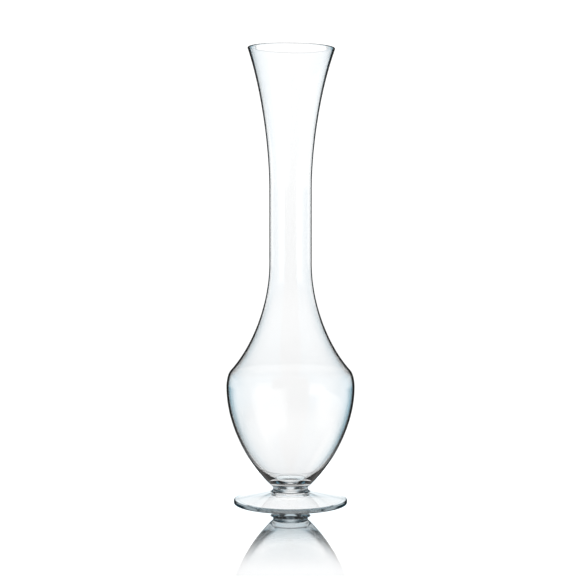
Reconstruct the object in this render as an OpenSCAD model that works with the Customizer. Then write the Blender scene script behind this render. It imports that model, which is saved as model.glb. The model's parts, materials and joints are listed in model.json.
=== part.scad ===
// Tall footed vase of clear blown glass.
// Three pieces of glass fused hot: a blown bowl with a long neck, a short solid
// stem button under it, and a spun disc foot. The origin is the centre of the
// ring that the foot stands on, and +Z runs up the axis of the vase.

/* [Mouth] */
// Height of the lip above the table
vase_h = 508; // [490:1:540]
// Outer diameter over the lip
mouth_d = 96.8; // [84:0.2:110]
// Thickness of the fire-polished lip
lip_t = 2.6; // [2:0.1:3.4]
// Lean of the wall outwards where it meets the lip, in degrees
mouth_flare = 19; // [10:1:26]

/* [Neck] */
// Outer diameter of the straight neck
neck_d = 47.2; // [40:0.2:54]
// Thickness of the neck's wall
neck_t = 1.1; // [1:0.1:2]
// Height where the neck becomes straight
neck_low_z = 269; // [255:1:280]
// Height where the neck starts to flare
neck_top_z = 351; // [335:1:365]

/* [Body] */
// Outer diameter at the widest place
belly_d = 143; // [130:0.5:150]
// Height of the widest place
belly_z = 131; // [128:0.5:134]
// Thickness of the wall at the belly
belly_t = 2.1; // [1.8:0.1:2.6]
// Outer diameter at the foot of the shoulder's slope, just above the turn
shoulder_d = 133.4; // [128:0.2:134]
// Height at the foot of the shoulder's slope
shoulder_z = 149.5; // [147:0.5:152]
// Lean of the shoulder's slope from upright, in degrees
shoulder_lean = 42; // [38:1:45]
// Solid glass under the cavity
bottom_t = 7.2; // [6.4:0.2:8]
// Diameter of the flat floor of the cavity
floor_d = 36; // [32:0.5:38]

/* [Stem button] */
// Diameter of the seam between bowl and stem
seam_d = 39.2; // [38:0.2:41]
// Height of the seam between bowl and stem
seam_z = 18.4; // [18:0.1:19]
// Diameter where the stem spreads onto the foot
spread_d = 45; // [43.5:0.5:47]

/* [Foot] */
// Outer diameter of the foot
foot_d = 126.8; // [115:0.2:135]
// Thickness of the foot at its edge
foot_edge = 5.2; // [4.6:0.1:6]
// Height of the foot's seat for the stem
foot_seat_z = 13.5; // [12.5:0.1:14]
// Height of the hollow under the foot, at its middle
foot_hollow = 9; // [7:0.5:10]
// Width of the flat ring that the foot stands on
foot_ring = 5; // [3:0.5:7]

/* [Hidden] */

// Steps round the axis, and steps along one curve of an outline
$fn = 180;
curve_steps = 22;
lip_steps = 10;
edge_steps = 7;

// Radii of the rolled edges of the foot
foot_top_round = 1.8;
foot_low_round = 1.5;

// Points of the outer outline, as [radius, height]
seam = [seam_d / 2, seam_z];
belly = [belly_d / 2, belly_z];
shoulder = [shoulder_d / 2, shoulder_z];
neck_low = [neck_d / 2, neck_low_z];
neck_top = [neck_d / 2, neck_top_z];
lip_mid = [mouth_d / 2 - lip_t / 2, vase_h - lip_t / 2];

// Lean of the outline from upright at the seam, in degrees
seam_lean = 47.3;

// Lengths of the tangent handles of each curve
seam_pull = 37.5;
belly_pull_down = 43.2;
belly_pull_up = 2.3;
turn_pull = 6.5;
shoulder_pull = 38;
neck_pull_down = 43.7;
neck_pull_up = 42.9;
mouth_pull = 50.9;

// Lean of the cavity's wall from upright where it leaves the floor, in degrees
cavity_lean = 58.3;

// Lengths of the tangent handles of the cavity's wall, at the floor and at the belly
cavity_low_pull = 30.6;
cavity_side_pull = 41.8;

// A direction that leans outwards from upright by an angle
function lean(a) = [sin(a), cos(a)];

// A direction turned a quarter turn clockwise: from upwards to outwards
function outward(v) = [v[1], -v[0]] / norm(v);

// Cubic curve with end points p0 and p3, and handle points p1 and p2
function curve_at(p0, p1, p2, p3, t) =
    pow(1 - t, 3) * p0 + 3 * pow(1 - t, 2) * t * p1 + 3 * (1 - t) * t * t * p2 + t * t * t * p3;

// Direction of the same curve
function curve_way(p0, p1, p2, p3, t) =
    pow(1 - t, 2) * (p1 - p0) + 2 * (1 - t) * t * (p2 - p1) + t * t * (p3 - p2);

// A curve as points moved inwards by a thickness that grows from ta to tb
function wall_curve(c, ta, tb, n) = [
    for (i = [0:n])
        let (t = i / n, way = curve_way(c[0], c[1], c[2], c[3], t))
            curve_at(c[0], c[1], c[2], c[3], t) - outward(way) * (ta + (tb - ta) * t)
];

// A round stretch from angle a to angle b about a centre
function arc(mid, r, a, b, n) = [
    for (i = [0:n]) let (w = a + (b - a) * i / n) mid + r * [cos(w), sin(w)]
];

// Points of a list in the opposite order
function reversed(points) = [for (i = [len(points) - 1:-1:0]) points[i]];

// The four curves of the outer outline, from the seam up to the lip
lip_outer = lip_mid + outward(lean(mouth_flare)) * lip_t / 2;
low_body = [seam, seam + seam_pull * lean(seam_lean), belly - [0, belly_pull_down], belly];
turn = [belly, belly + [0, belly_pull_up], shoulder - turn_pull * lean(-shoulder_lean), shoulder];
sweep = [shoulder, shoulder + shoulder_pull * lean(-shoulder_lean),
         neck_low - [0, neck_pull_down], neck_low];
flare = [neck_top, neck_top + [0, neck_pull_up],
         lip_outer - mouth_pull * lean(mouth_flare), lip_outer];

// The cavity's wall, from the edge of its flat floor up to the belly
floor_edge = [floor_d / 2, seam_z + bottom_t];
belly_inside = belly - [belly_t, 0];
cavity_wall = [floor_edge, floor_edge + cavity_low_pull * lean(cavity_lean),
               belly_inside - [0, cavity_side_pull], belly_inside];

// Blown bowl: one gather of glass with a long flared neck and a solid bottom
module bowl() {
    outside = concat(
        wall_curve(low_body, 0, 0, curve_steps),
        wall_curve(turn, 0, 0, edge_steps),
        wall_curve(sweep, 0, 0, curve_steps),
        wall_curve(flare, 0, 0, curve_steps)
    );
    lip = arc(lip_mid, lip_t / 2, -mouth_flare, 180 - mouth_flare, lip_steps);
    inside = concat(
        [[0, floor_edge[1]]],
        wall_curve(cavity_wall, 0, 0, curve_steps),
        wall_curve(turn, belly_t, belly_t, edge_steps),
        wall_curve(sweep, belly_t, neck_t, curve_steps),
        wall_curve(flare, neck_t, lip_t, curve_steps)
    );
    color("azure", 0.5)
        rotate_extrude()
            polygon(concat([[0, seam_z]], outside, lip, reversed(inside)));
}

// Short solid button with a narrow waist, between the bowl and the foot
module stem_button() {
    waist_pull = 1.8;
    spread_pull = 3.2;
    spread = [spread_d / 2, foot_seat_z];
    side = [spread, spread + spread_pull * lean(-75), seam + waist_pull * lean(-165), seam];
    color("lightcyan", 0.5)
        rotate_extrude()
            polygon(concat([[0, foot_seat_z]], wall_curve(side, 0, 0, curve_steps), [[0, seam_z]]));
}

// Spun disc foot: a low cone of nearly even thickness, hollow below, with a rolled edge
module foot() {
    edge_r = foot_d / 2;
    seat_r = spread_d / 2;
    top_mid = [edge_r - foot_top_round, foot_edge - foot_top_round];
    low_mid = [edge_r - foot_low_round, foot_low_round];
    ring_in = edge_r - foot_low_round - foot_ring;
    cone_slope = atan((foot_seat_z - foot_edge) / (edge_r - foot_top_round - seat_r));
    hollow_pull = 17;
    hollow = [[0, foot_hollow], [hollow_pull, foot_hollow],
              [ring_in, 0] - hollow_pull * [cos(cone_slope), -sin(cone_slope)], [ring_in, 0]];
    color("lightblue", 0.5)
        rotate_extrude()
            polygon(concat(
                wall_curve(hollow, 0, 0, curve_steps),
                arc(low_mid, foot_low_round, -90, 0, edge_steps),
                arc(top_mid, foot_top_round, 0, 90 - cone_slope, edge_steps),
                [[seat_r, foot_seat_z], [0, foot_seat_z]]
            ));
}

bowl();
stem_button();
foot();
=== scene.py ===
"""A tall footed vase of clear blown glass, standing on a pale glossy table.

Lengths are in metres, angles in degrees, and +Z is up. The glass is three pieces
fused hot: the blown bowl, the short solid stem button and the spun disc foot.
"""
import json
import math
import bpy
import numpy as np
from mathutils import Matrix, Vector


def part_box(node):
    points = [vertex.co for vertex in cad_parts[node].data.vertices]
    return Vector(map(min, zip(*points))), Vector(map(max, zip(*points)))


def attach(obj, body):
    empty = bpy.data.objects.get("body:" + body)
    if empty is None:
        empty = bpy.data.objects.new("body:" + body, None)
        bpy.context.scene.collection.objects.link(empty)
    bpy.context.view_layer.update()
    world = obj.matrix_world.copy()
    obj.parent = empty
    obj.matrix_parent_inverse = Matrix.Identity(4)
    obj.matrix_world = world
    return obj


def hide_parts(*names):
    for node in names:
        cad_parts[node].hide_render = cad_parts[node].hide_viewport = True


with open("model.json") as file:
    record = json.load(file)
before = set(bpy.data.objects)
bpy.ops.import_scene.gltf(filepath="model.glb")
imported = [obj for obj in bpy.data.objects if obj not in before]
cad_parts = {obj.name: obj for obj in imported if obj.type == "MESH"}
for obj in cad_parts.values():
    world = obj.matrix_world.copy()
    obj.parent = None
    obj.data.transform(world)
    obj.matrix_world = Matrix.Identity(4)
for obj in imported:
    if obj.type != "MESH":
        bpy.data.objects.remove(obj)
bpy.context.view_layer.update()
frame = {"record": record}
scene = bpy.context.scene
mm = 0.001

# ---------------------------------------------------------------- bowl
# The bowl is one gather of clear soda-lime glass, blown, and swung so that the neck
# drew out long and thin. The flame rounded its sheared lip. Its wall thickens towards
# the bottom, where a flat floor closes the cavity over solid glass.

bowl_low, bowl_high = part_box("bowl")
neck_bore = [m for m in frame["record"]["mounts"] if m["name"] == "neck_bore"][0]
bore_r = neck_bore["dims"]["r_mm"] * mm
bore_length = neck_bore["dims"]["length_mm"] * mm

vase_h = bowl_high[2]
mouth_r = 48.4 * mm
lip_t = 2.6 * mm
mouth_flare = 19.0
neck_t = 1.1 * mm
neck_low_z = 269 * mm
neck_top_z = neck_low_z + bore_length
belly_r = bowl_high[0]
belly_z = 131 * mm
belly_t = 2.1 * mm
shoulder_r = 66.7 * mm
shoulder_z = 149.5 * mm
shoulder_lean = -42.0
seam_r = 19.6 * mm
seam_z = bowl_low[2]
seam_lean = 47.3
bottom_t = 7.2 * mm
floor_r = 18 * mm
floor_z = seam_z + bottom_t
cavity_lean = 58.3

# How far each curve keeps the lean of its two ends
seam_pull = 37.5 * mm
belly_pull_down = 43.2 * mm
belly_pull_up = 2.3 * mm
turn_pull = 6.5 * mm
shoulder_pull = 38 * mm
neck_pull_down = 43.7 * mm
neck_pull_up = 42.9 * mm
mouth_pull = 50.9 * mm
cavity_low_pull = 30.6 * mm
cavity_side_pull = 41.8 * mm

# How far the hand-made mouth drifts sideways, dips, and the body is out of round
mouth_drift = 0.9 * mm
lip_dip = 0.7 * mm
out_of_round = 0.004

# Rows of faces across a fused joint
joint_rows = 8


def lean(angle):
    """Unit step (radius, height) that leans outwards from upright: its sine and cosine."""
    return np.array([math.sin(math.radians(angle)), math.cos(math.radians(angle))])


def curve(handles, steps, start_t=0.0, end_t=0.0):
    """Cubic curve moved inwards: the weighted sum of four handle points, less the
    outward normal times a thickness that grows evenly from start_t to end_t."""
    p0, p1, p2, p3 = [np.array(p, float) for p in handles]
    t = np.linspace(0, 1, steps + 1)[:, None]
    point = (1 - t) ** 3 * p0 + 3 * (1 - t) ** 2 * t * p1 + 3 * (1 - t) * t**2 * p2 + t**3 * p3
    way = (1 - t) ** 2 * (p1 - p0) + 2 * (1 - t) * t * (p2 - p1) + t**2 * (p3 - p2)
    way /= np.linalg.norm(way, axis=1)[:, None]
    outward = np.c_[way[:, 1], -way[:, 0]]
    return point - outward * (start_t + (end_t - start_t) * t)


def arc(middle, radius, start, end, steps):
    """Round stretch: the middle plus the radius times the cosine and sine of an angle
    that runs evenly from start to end."""
    a = np.radians(np.linspace(start, end, steps + 1))[:, None]
    return np.array(middle) + radius * np.hstack([np.cos(a), np.sin(a)])


def line(start, end, steps):
    """Straight stretch: an even blend of its two end points."""
    t = np.linspace(0, 1, steps + 1)[:, None]
    return np.array(start) * (1 - t) + np.array(end) * t


def joined(*stretches):
    """One outline from stretches that each start where the last one ended."""
    return np.vstack([stretches[0]] + [s[1:] for s in stretches[1:]])


def turned(name, outline, shaped, fused_start=0, fused_end=0, sides=270):
    """Closed solid of revolution: outline point (r, z) at angle a goes to
    (r cos a, r sin a, z), and shaped(x, y, z) then moves it as the maker's hand did.
    The outline starts and ends on the axis, going round the glass anticlockwise.
    The first fused_start rows and the last fused_end rows of faces are where the glass
    is fused to its neighbour, and take the second material slot."""
    a = np.arange(sides) * 2 * np.pi / sides
    r, z = outline[:, :1], outline[:, 1:]
    rings = np.stack(shaped(r * np.cos(a), r * np.sin(a), z + 0 * a), -1)
    points = np.vstack([rings[1:-1].reshape(-1, 3), rings[0, :1], rings[-1, :1]])
    rows = len(outline) - 2
    ring = np.arange(rows)[:, None] * sides
    here = np.arange(sides)[None]
    there = np.roll(here, -1)
    quads = np.stack(
        [ring[:-1] + here, ring[:-1] + there, ring[1:] + there, ring[1:] + here], -1
    )
    start_fan = np.stack([0 * here + rows * sides, there, here], -1)
    end_fan = np.stack([ring[-1:] + here, ring[-1:] + there, 0 * here + rows * sides + 1], -1)
    faces = [f.reshape(-1, f.shape[-1]).tolist() for f in (start_fan, quads, end_fan)]
    mesh = bpy.data.meshes.new(name)
    mesh.from_pydata(points, [], faces[0] + faces[1] + faces[2])
    row = np.repeat(np.arange(rows + 1), sides)
    fused = (row < fused_start) | (row > rows - fused_end)
    mesh.polygons.foreach_set("material_index", fused.astype(np.int32))
    mesh.polygons.foreach_set("use_smooth", ~fused)
    mesh.update()
    piece = bpy.data.objects.new(name, mesh)
    scene.collection.objects.link(piece)
    return piece


up = np.array([0.0, 1.0])
seam = np.array([seam_r, seam_z])
belly = np.array([belly_r, belly_z])
shoulder = np.array([shoulder_r, shoulder_z])
neck_low = np.array([bore_r + neck_t, neck_low_z])
neck_top = np.array([bore_r + neck_t, neck_top_z])
lip_mid = np.array([mouth_r - lip_t / 2, vase_h - lip_t / 2])
lip_out = lip_mid + lip_t / 2 * lean(mouth_flare + 90)

low_body = [seam, seam + seam_pull * lean(seam_lean), belly - belly_pull_down * up, belly]
turn = [
    belly, belly + belly_pull_up * up, shoulder - turn_pull * lean(shoulder_lean), shoulder
]
sweep = [
    shoulder, shoulder + shoulder_pull * lean(shoulder_lean),
    neck_low - neck_pull_down * up, neck_low,
]
flare = [
    neck_top, neck_top + neck_pull_up * up, lip_out - mouth_pull * lean(mouth_flare), lip_out
]
floor_edge = np.array([floor_r, floor_z])
belly_in = belly - [belly_t, 0]
cavity_wall = [
    floor_edge, floor_edge + cavity_low_pull * lean(cavity_lean),
    belly_in - cavity_side_pull * up, belly_in,
]

bowl_outline = joined(
    line([0, seam_z], seam, joint_rows),
    curve(low_body, 60),
    curve(turn, 16),
    curve(sweep, 40),
    line(neck_low, neck_top, 12),
    curve(flare, 36),
    arc(lip_mid, lip_t / 2, -mouth_flare, 180 - mouth_flare, 14),
    curve(flare, 36, neck_t, lip_t)[::-1],
    line(neck_top - [neck_t, 0], neck_low - [neck_t, 0], 12),
    curve(sweep, 40, belly_t, neck_t)[::-1],
    curve(turn, 16, belly_t, belly_t)[::-1],
    curve(cavity_wall, 60)[::-1],
    line(floor_edge, [0, floor_z], 10),
)


def swung(x, y, z):
    """The mouth drifts towards +X and its lip dips there, both growing with the square
    of the height above the straight neck. The body is a little out of round: its
    radius changes with the sine of twice the angle, and most half-way up the bowl."""
    rise = np.clip((z - neck_top_z) / (vase_h - neck_top_z), 0, 1) ** 2
    above = np.clip((z - seam_z) / (vase_h - seam_z), 0, 1)
    oval = 1 + out_of_round * above * (1 - above) * np.sin(2 * np.arctan2(y, x) + 1)
    dip = lip_dip * rise * (1 + x / mouth_r)
    return x * oval + mouth_drift * rise, y * oval, z - dip


def wire(tree, kind, inputs, **settings):
    """Adds one node. Its settings are attributes; each input is a value, or a socket to
    link from."""
    made = tree.nodes.new(kind)
    for key, value in settings.items():
        setattr(made, key, value)
    for key, value in inputs.items():
        if isinstance(value, bpy.types.NodeSocket):
            tree.links.new(value, made.inputs[key])
        else:
            made.inputs[key].default_value = value
    return made


def drawn_glass_group():
    """Shared look of hand-drawn glass: cords of slightly different glass, stretched along
    the axis, tint it and ripple its surface, and the flame left it polished but for a
    faint haze. Seeds, which are tiny bubbles near the surface, raise round dots."""
    seeds_per_metre = 42.0
    seed_size = 0.025
    seed_height = 0.6
    group = bpy.data.node_groups.new("drawn_glass", "ShaderNodeTree")
    add = group.interface.new_socket
    add("Clear", in_out="INPUT", socket_type="NodeSocketColor")
    add("Cord", in_out="INPUT", socket_type="NodeSocketColor")
    add("Haze", in_out="INPUT", socket_type="NodeSocketFloat")
    add("Stretch", in_out="INPUT", socket_type="NodeSocketVector")
    add("Color", in_out="OUTPUT", socket_type="NodeSocketColor")
    add("Roughness", in_out="OUTPUT", socket_type="NodeSocketFloat")
    add("Height", in_out="OUTPUT", socket_type="NodeSocketFloat")
    given = wire(group, "NodeGroupInput", {}).outputs
    place = wire(group, "ShaderNodeTexCoord", {}).outputs["Object"]
    drawn = wire(group, "ShaderNodeVectorMath", {0: place, 1: given["Stretch"]}, operation="MULTIPLY")
    cords = wire(group, "ShaderNodeTexNoise", {
        "Vector": drawn.outputs[0], "Scale": 1.0, "Detail": 2.0, "Roughness": 0.45,
    }).outputs[0]
    tint = wire(group, "ShaderNodeMix", {0: cords, 6: given["Clear"], 7: given["Cord"]}, data_type="RGBA")
    haze = wire(group, "ShaderNodeMath", {0: cords, 1: given["Haze"]}, operation="MULTIPLY")
    nearest = wire(group, "ShaderNodeTexVoronoi", {"Vector": place, "Scale": seeds_per_metre})
    seeds = wire(group, "ShaderNodeMapRange", {
        "Value": nearest.outputs["Distance"], "From Min": 0.0, "From Max": seed_size,
        "To Min": seed_height, "To Max": 0.0,
    }, interpolation_type="SMOOTHSTEP")
    ripple = wire(group, "ShaderNodeMath", {0: cords, 1: seeds.outputs[0]}, operation="ADD")
    wire(group, "NodeGroupOutput", {
        "Color": tint.outputs[2], "Roughness": haze.outputs[0], "Height": ripple.outputs[0],
    })
    return group


drawn_glass = drawn_glass_group()


def clear_glass(name, clear, cord, haze, stretch, ripple):
    """Glass that bends light as soda-lime does. Its colour goes from clear to cord where
    the cords are thick, and the ripple is their height."""
    material = bpy.data.materials.new(name)
    material.use_nodes = True
    tree = material.node_tree
    tree.nodes.clear()
    look = wire(tree, "ShaderNodeGroup", {}, node_tree=drawn_glass)
    look.inputs["Clear"].default_value = (*clear, 1)
    look.inputs["Cord"].default_value = (*cord, 1)
    look.inputs["Haze"].default_value = haze
    look.inputs["Stretch"].default_value = stretch
    bump = wire(tree, "ShaderNodeBump", {
        "Height": look.outputs["Height"], "Strength": 1.0, "Distance": ripple,
    })
    glass = wire(tree, "ShaderNodeBsdfPrincipled", {
        "Base Color": look.outputs["Color"], "Roughness": look.outputs["Roughness"],
        "Normal": bump.outputs[0], "IOR": 1.52, "Transmission Weight": 1.0,
    })
    wire(tree, "ShaderNodeOutputMaterial", {"Surface": glass.outputs[0]})
    return material


def fused_joint():
    """Inside a fused joint there is no surface, so light goes straight on."""
    material = bpy.data.materials.new("fused_joint")
    material.use_nodes = True
    tree = material.node_tree
    tree.nodes.clear()
    through = wire(tree, "ShaderNodeBsdfTransparent", {})
    wire(tree, "ShaderNodeOutputMaterial", {"Surface": through.outputs[0]})
    return material


joint = fused_joint()
bowl = turned("blown_bowl", bowl_outline, swung, fused_start=joint_rows)
bowl.data.materials.append(clear_glass(
    "bowl_glass", (0.996, 0.998, 0.998), (0.988, 0.992, 0.994), 0.003, (60, 60, 7), 0.012 * mm
))
bowl.data.materials.append(joint)
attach(bowl, "root")
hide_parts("bowl")

# ---------------------------------------------------------------- stem button
# A small solid gather dropped on the bowl's bottom and squeezed with the jacks to a
# short waist, then spread a little where the foot was stuck to it.

stem_low, stem_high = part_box("stem_button")
spread = np.array([stem_high[0], stem_low[2]])
spread_pull = 3.2 * mm * lean(-75)
waist_pull = 1.8 * mm * lean(-165)
stem_side = [spread, spread + spread_pull, seam + waist_pull, seam]
stem_outline = joined(
    line([0, spread[1]], spread, joint_rows),
    curve(stem_side, 30),
    line(seam, [0, seam_z], joint_rows),
)


def true_round(x, y, z):
    """No change: this glass runs true."""
    return x, y, z


stem = turned("squeezed_stem", stem_outline, true_round, joint_rows, joint_rows)
stem.data.materials.append(clear_glass(
    "stem_glass", (0.994, 0.997, 0.998), (0.982, 0.989, 0.992), 0.003, (90, 90, 40), 0.02 * mm
))
stem.data.materials.append(joint)
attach(stem, "root")
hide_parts("stem_button")

# ---------------------------------------------------------------- foot
# A second gather, opened and spun out into a low cone of nearly even thickness. It
# stands on a narrow ring, and its edge was rolled smooth in the flame. The real edge is
# clear: its dark tint stands in for how thick glass darkens against a lit backdrop.

foot_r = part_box("foot")[1][0]
edge_h = 5.2 * mm
top_round = 1.8 * mm
low_round = 1.5 * mm
ring_w = 5 * mm
ring_in = foot_r - low_round - ring_w
hollow_h = 9 * mm
hollow_pull = 17 * mm
cone_slope = math.degrees(math.atan2(spread[1] - edge_h, foot_r - top_round - spread[0]))
hollow = [
    [0, hollow_h], [hollow_pull, hollow_h],
    [ring_in, 0] + hollow_pull * lean(cone_slope - 90), [ring_in, 0],
]
edge_low = arc([foot_r - low_round, low_round], low_round, -90, 0, 8)
edge_top = arc([foot_r - top_round, edge_h - top_round], top_round, 0, 90 - cone_slope, 10)
foot_outline = joined(
    curve(hollow, 40),
    line([ring_in, 0], edge_low[0], 5),
    edge_low,
    line(edge_low[-1], edge_top[0], 3),
    edge_top,
    line(edge_top[-1], spread, 24),
    line(spread, [0, spread[1]], joint_rows),
)
foot = turned("spun_foot", foot_outline, true_round, fused_end=joint_rows)
foot_glass = clear_glass(
    "foot_glass", (0.994, 0.997, 0.998), (0.980, 0.988, 0.991), 0.003, (25, 25, 60), 0.02 * mm
)
# Painted shade: a near-black band mixed into the clear foot's colour round its edge, standing in for how
# the thick edge darkens
rim_shade_starts = foot_r - 2.4 * mm
rim_shade_full = foot_r - 0.8 * mm
painted_rim_shade_colour = (0.10, 0.12, 0.13, 1)
tree = foot_glass.node_tree
place = wire(tree, "ShaderNodeTexCoord", {}).outputs["Object"]
level = wire(tree, "ShaderNodeVectorMath", {0: place, 1: (1, 1, 0)}, operation="MULTIPLY")
radius = wire(tree, "ShaderNodeVectorMath", {0: level.outputs[0]}, operation="LENGTH")
rim_shade_mask = wire(tree, "ShaderNodeMapRange", {
    "Value": radius.outputs["Value"], "From Min": rim_shade_starts, "From Max": rim_shade_full,
}, interpolation_type="SMOOTHSTEP")
painted_rim_shade = wire(tree, "ShaderNodeMix", {
    0: rim_shade_mask.outputs[0], 6: tree.nodes["Group"].outputs["Color"], 7: painted_rim_shade_colour,
}, data_type="RGBA")
tree.links.new(painted_rim_shade.outputs[2], tree.nodes["Principled BSDF"].inputs["Base Color"])
foot.data.materials.append(foot_glass)
foot.data.materials.append(joint)
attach(foot, "root")
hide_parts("foot")

# ---------------------------------------------------------------- table
# A wide white acrylic table. On shallow looks it mirrors the bowl and the stem, with a
# painted shadow darkening the mirror close to the vase, and the mirror fades away from it.
# Only the camera sees the table, and the foot is left out of all mirrored light, so that
# its edge shows once.

table_r = 12.0
table_t = 0.03
table_edge = 0.01
table_mid_r = 0.4
table_gap = 0.2 * mm
table_outline = np.array([
    [0, -table_t], [table_r - table_edge, -table_t], [table_r, table_edge - table_t],
    [table_r, -table_edge], [table_r - table_edge, 0], [table_mid_r, 0], [0, 0],
])
mirror_near, mirror_far = 0.13, 0.33
mirror_most, mirror_least = 0.95, 0.05
# Painted shadow: close to the vase the mirror's colour drops to this blue-grey
painted_shadow_near, painted_shadow_far = 0.12, 0.27
painted_shadow_colour = (0.58, 0.64, 0.67, 1)
tilt_none, tilt_full = 0.1, 0.72
table = turned("table", table_outline - [0, table_gap], true_round, sides=96)
acrylic = bpy.data.materials.new("white_acrylic")
acrylic.use_nodes = True
tree = acrylic.node_tree
tree.nodes.clear()
place = wire(tree, "ShaderNodeTexCoord", {})
distance = wire(tree, "ShaderNodeVectorMath", {0: place.outputs["Object"]}, operation="LENGTH")
polish = wire(tree, "ShaderNodeMapRange", {
    "Value": distance.outputs["Value"], "From Min": mirror_near, "From Max": mirror_far,
    "To Min": mirror_most, "To Max": mirror_least,
}, interpolation_type="SMOOTHSTEP")
white = wire(tree, "ShaderNodeBsdfDiffuse", {"Color": (0.92, 0.92, 0.92, 1)})
# Painted shadow: the mirror's colour is darkened near the vase and clears further out
painted_shadow_fade = wire(tree, "ShaderNodeMapRange", {
    "Value": distance.outputs["Value"], "From Min": painted_shadow_near, "From Max": painted_shadow_far,
}, interpolation_type="SMOOTHSTEP")
shadowed_mirror_colour = wire(tree, "ShaderNodeMix", {
    0: painted_shadow_fade.outputs[0], 6: painted_shadow_colour, 7: (1, 1, 1, 1),
}, data_type="RGBA")
mirror = wire(tree, "ShaderNodeBsdfGlossy", {"Roughness": 0.02, "Color": shadowed_mirror_colour.outputs[2]})
tilt = wire(tree, "ShaderNodeLayerWeight", {"Blend": 0.5})
grazing = wire(tree, "ShaderNodeMapRange", {
    "Value": tilt.outputs["Facing"], "From Min": tilt_none, "From Max": tilt_full,
}, interpolation_type="SMOOTHSTEP")
shine = wire(tree, "ShaderNodeMath", {0: polish.outputs[0], 1: grazing.outputs[0]}, operation="MULTIPLY")
both = wire(tree, "ShaderNodeMixShader", {0: shine.outputs[0], 1: white.outputs[0], 2: mirror.outputs[0]})
wire(tree, "ShaderNodeOutputMaterial", {"Surface": both.outputs[0]})
table.data.materials.append(acrylic)
table.visible_transmission = False
table.visible_glossy = False
table.visible_diffuse = False
table.visible_shadow = False
foot.visible_glossy = False

# ---------------------------------------------------------------- studio light
# A stand-in for a studio with one lit backdrop in a dark room, which shows clear glass
# white with dark edges. No real room does quite this: what a ray sees depends on how it
# came there. Rays that miss the glass see plain white. Those straight through it see a
# wide backdrop and windows for the other sides. Mirrored ones see a narrow backdrop.

full_light = 1.3
plain_white = (0.885, 0.885, 0.885, 1)
table_white = (1.6, 1.6, 1.6, 1)
window_white = (0.85, 0.85, 0.85, 1)
edge_blue = (0.36, 0.60, 0.72, 1)
side_blue = (0.08, 0.20, 0.27, 1)
neck_grey = (0.62, 0.64, 0.65, 1)
extra_width = 0.3
studio = bpy.data.worlds.new("studio")
studio.use_nodes = True
tree = studio.node_tree
tree.nodes.clear()
scene.world = studio
way = wire(tree, "ShaderNodeTexCoord", {}).outputs["Generated"]
height = wire(tree, "ShaderNodeSeparateXYZ", {0: way}).outputs[2]
level = wire(tree, "ShaderNodeVectorMath", {0: way, 1: (1, 1, 0)}, operation="MULTIPLY")
heading = wire(tree, "ShaderNodeVectorMath", {0: level.outputs[0]}, operation="NORMALIZE").outputs[0]
path = wire(tree, "ShaderNodeLightPath", {}).outputs


def sine(angle):
    """Sine of an angle in degrees."""
    return math.sin(math.radians(angle))


def cosine(angle):
    """Cosine of an angle in degrees."""
    return math.cos(math.radians(angle))


def grey(amount):
    """A neutral colour."""
    return (amount, amount, amount)


def combined(operation, a, b):
    """One number made from two."""
    return wire(tree, "ShaderNodeMath", {0: a, 1: b}, operation=operation).outputs[0]


def blended(amount, a, b):
    """A colour that goes from a to b as the amount goes from 0 to 1."""
    return wire(tree, "ShaderNodeMix", {0: amount, 6: a, 7: b}, data_type="RGBA").outputs[2]


def fade(value, none, full):
    """Smooth step from 0 where the value is none to 1 where it is full."""
    ends = {"From Min": none, "From Max": full, "To Min": 0.0, "To Max": 1.0}
    if none > full:
        ends = {"From Min": full, "From Max": none, "To Min": 1.0, "To Max": 0.0}
    step = wire(tree, "ShaderNodeMapRange", {"Value": value, **ends}, interpolation_type="SMOOTHSTEP")
    return step.outputs[0]


def by_height(stops):
    """Colour that changes with how far the direction points above the horizon, from
    (degrees, colour) stops."""
    half = wire(tree, "ShaderNodeMath", {0: height, 1: 0.5, 2: 0.5}, operation="MULTIPLY_ADD")
    ramp = wire(tree, "ShaderNodeValToRGB", {"Fac": half.outputs[0]})
    marks = ramp.color_ramp.elements
    for angle, colour in stops:
        marks.new(0.5 + 0.5 * sine(angle)).color = (*colour, 1)
    marks.remove(marks[0])
    marks.remove(marks[-1])
    return ramp.outputs[0]


def facing(compass):
    """Cosine of the turn between the direction's heading and a compass angle."""
    ahead = (cosine(compass), sine(compass), 0)
    turn_from = wire(tree, "ShaderNodeVectorMath", {0: heading, 1: ahead}, operation="DOT_PRODUCT")
    return turn_from.outputs["Value"]


def window(compass, shallow_none, shallow_full, steep_full, steep_none):
    """A soft window at a compass angle, between two slopes above the horizon and the same
    two below it: 1 inside, 0 outside."""
    side = fade(facing(compass), cosine(44), cosine(24))
    tall = fade(steep, sine(steep_none), sine(steep_full))
    if shallow_full > 0:
        tall = combined("MULTIPLY", tall, fade(steep, sine(shallow_none), sine(shallow_full)))
    return combined("MULTIPLY", side, tall)


# How far off the horizon a ray points, and 1 for a ray that no surface has mirrored
steep = combined("ABSOLUTE", height, 0.0)
straight = fade(path["Glossy Depth"], 0.9, 0.1)

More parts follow.
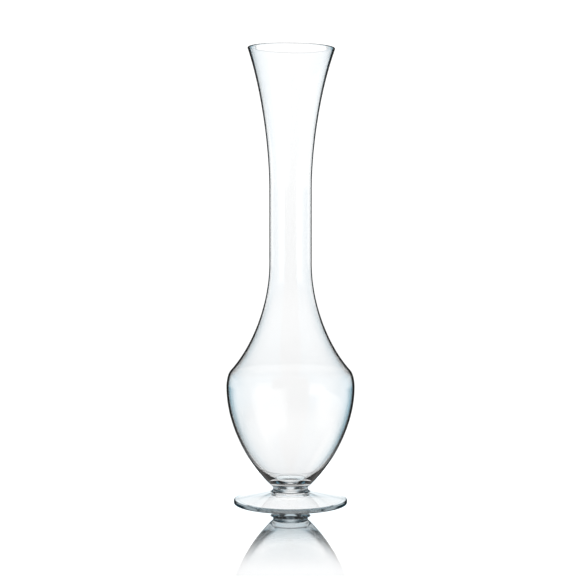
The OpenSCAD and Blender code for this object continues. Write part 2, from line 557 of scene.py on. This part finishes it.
# The backdrop: its width and brightness by height, and bluer towards its sides low down
half_width = by_height([
    (-60, grey(0.6)), (-40, grey(0.4)), (-25, grey(0.25)), (-12, grey(0.12)),
    (12, grey(0.12)), (40, grey(0.4)),
])
wider = combined("ADD", half_width, combined("MULTIPLY", straight, extra_width))
sideways = combined("ABSOLUTE", wire(tree, "ShaderNodeSeparateXYZ", {0: heading}).outputs[0], 0.0)
inside = fade(combined("SUBTRACT", wider, sideways), -0.05, 0.05)
on_backdrop = combined("MULTIPLY", inside, fade(facing(90), -0.05, 0.1))
backdrop = by_height([
    (-89, grey(0.15)), (-60, grey(0.25)), (-45, grey(0.6)), (-25, grey(0.8)), (-9, grey(0.845)),
    (-1, grey(0.875)), (4, grey(0.925)), (8, grey(0.91)), (12, (0.46, 0.52, 0.55)),
    (13.4, (0.70, 0.74, 0.76)), (20, (0.66, 0.71, 0.73)), (34, (0.76, 0.81, 0.83)),
    (47, (0.74, 0.80, 0.83)), (60, (0.12, 0.15, 0.17)), (70, grey(0.03)),
])
low_band = combined("MULTIPLY", fade(height, sine(-2), sine(-7)), fade(height, sine(-32), sine(-14)))
blue_edge = combined("MULTIPLY", fade(sideways, 0.04, 0.26), low_band)
backdrop = blended(blue_edge, backdrop, edge_blue)

# The room: dark, lit from below, blue at both sides, and pale beside the neck
dark_room = by_height([
    (-89, grey(0.05)), (-60, grey(0.22)), (-50, grey(0.32)), (-42, (0.34, 0.33, 0.32)),
    (-34, (0.36, 0.35, 0.34)), (-22, grey(0.07)), (-12, grey(0.01)),
])
far_side = fade(sideways, 0.5, 0.67)
blue_side = combined("MULTIPLY", far_side, fade(height, sine(-28), sine(-12)))
room = blended(blue_side, dark_room, side_blue)
beside_neck = combined("MULTIPLY", fade(height, sine(-5.5), sine(-3)), fade(height, sine(11), sine(7)))
beside_neck = combined("MULTIPLY", beside_neck, fade(sideways, 0.99, 0.84))
room = blended(combined("MULTIPLY", far_side, beside_neck), room, neck_grey)

# Windows for looks from the other sides and from above, by the way round and the height
windows = combined("MAXIMUM", window(180, 0, 0, 14, 36), window(135, 6, 14, 36, 60))
windows = combined("MAXIMUM", windows, window(315, 0, 6, 28, 50))
windows = combined("MAXIMUM", windows, fade(height, sine(-50), sine(-62)))
deep = fade(path["Transmission Depth"], 3.1, 3.9)
in_mirror = combined("MULTIPLY", fade(height, 0.02, 0.06), deep)
through_window = combined("MULTIPLY", windows, combined("MAXIMUM", straight, in_mirror))

# The whole sky, by how the ray came there
in_glass = blended(through_window, blended(on_backdrop, room, backdrop), window_white)
off_table = combined("SUBTRACT", path["Is Glossy Ray"], path["Is Singular Ray"])
plain = combined("MAXIMUM", path["Is Camera Ray"], path["Is Diffuse Ray"])
plain = wire(tree, "ShaderNodeClamp", {"Value": combined("MAXIMUM", plain, off_table)}).outputs[0]
table_ray = wire(tree, "ShaderNodeClamp", {"Value": off_table}).outputs[0]
sky = blended(table_ray, blended(plain, in_glass, plain_white), table_white)
light = wire(tree, "ShaderNodeBackground", {"Color": sky, "Strength": full_light})
wire(tree, "ShaderNodeOutputWorld", {"Surface": light.outputs[0]})

# ---------------------------------------------------------------- camera
# A long lens at the height of the upper neck, looking slightly down.

lens = bpy.data.cameras.new("camera")
lens.sensor_width = 36.0
lens.lens = 94.0
lens.clip_end = 100
camera = bpy.data.objects.new("camera", lens)
camera.location = (-2.8 * mm, -1671.3 * mm, 327.9 * mm)
camera.rotation_euler = (math.radians(90 - 2.965), 0, 0)
scene.collection.objects.link(camera)
scene.camera = camera
scene.view_settings.view_transform = "Standard"
scene.view_settings.look = "None"
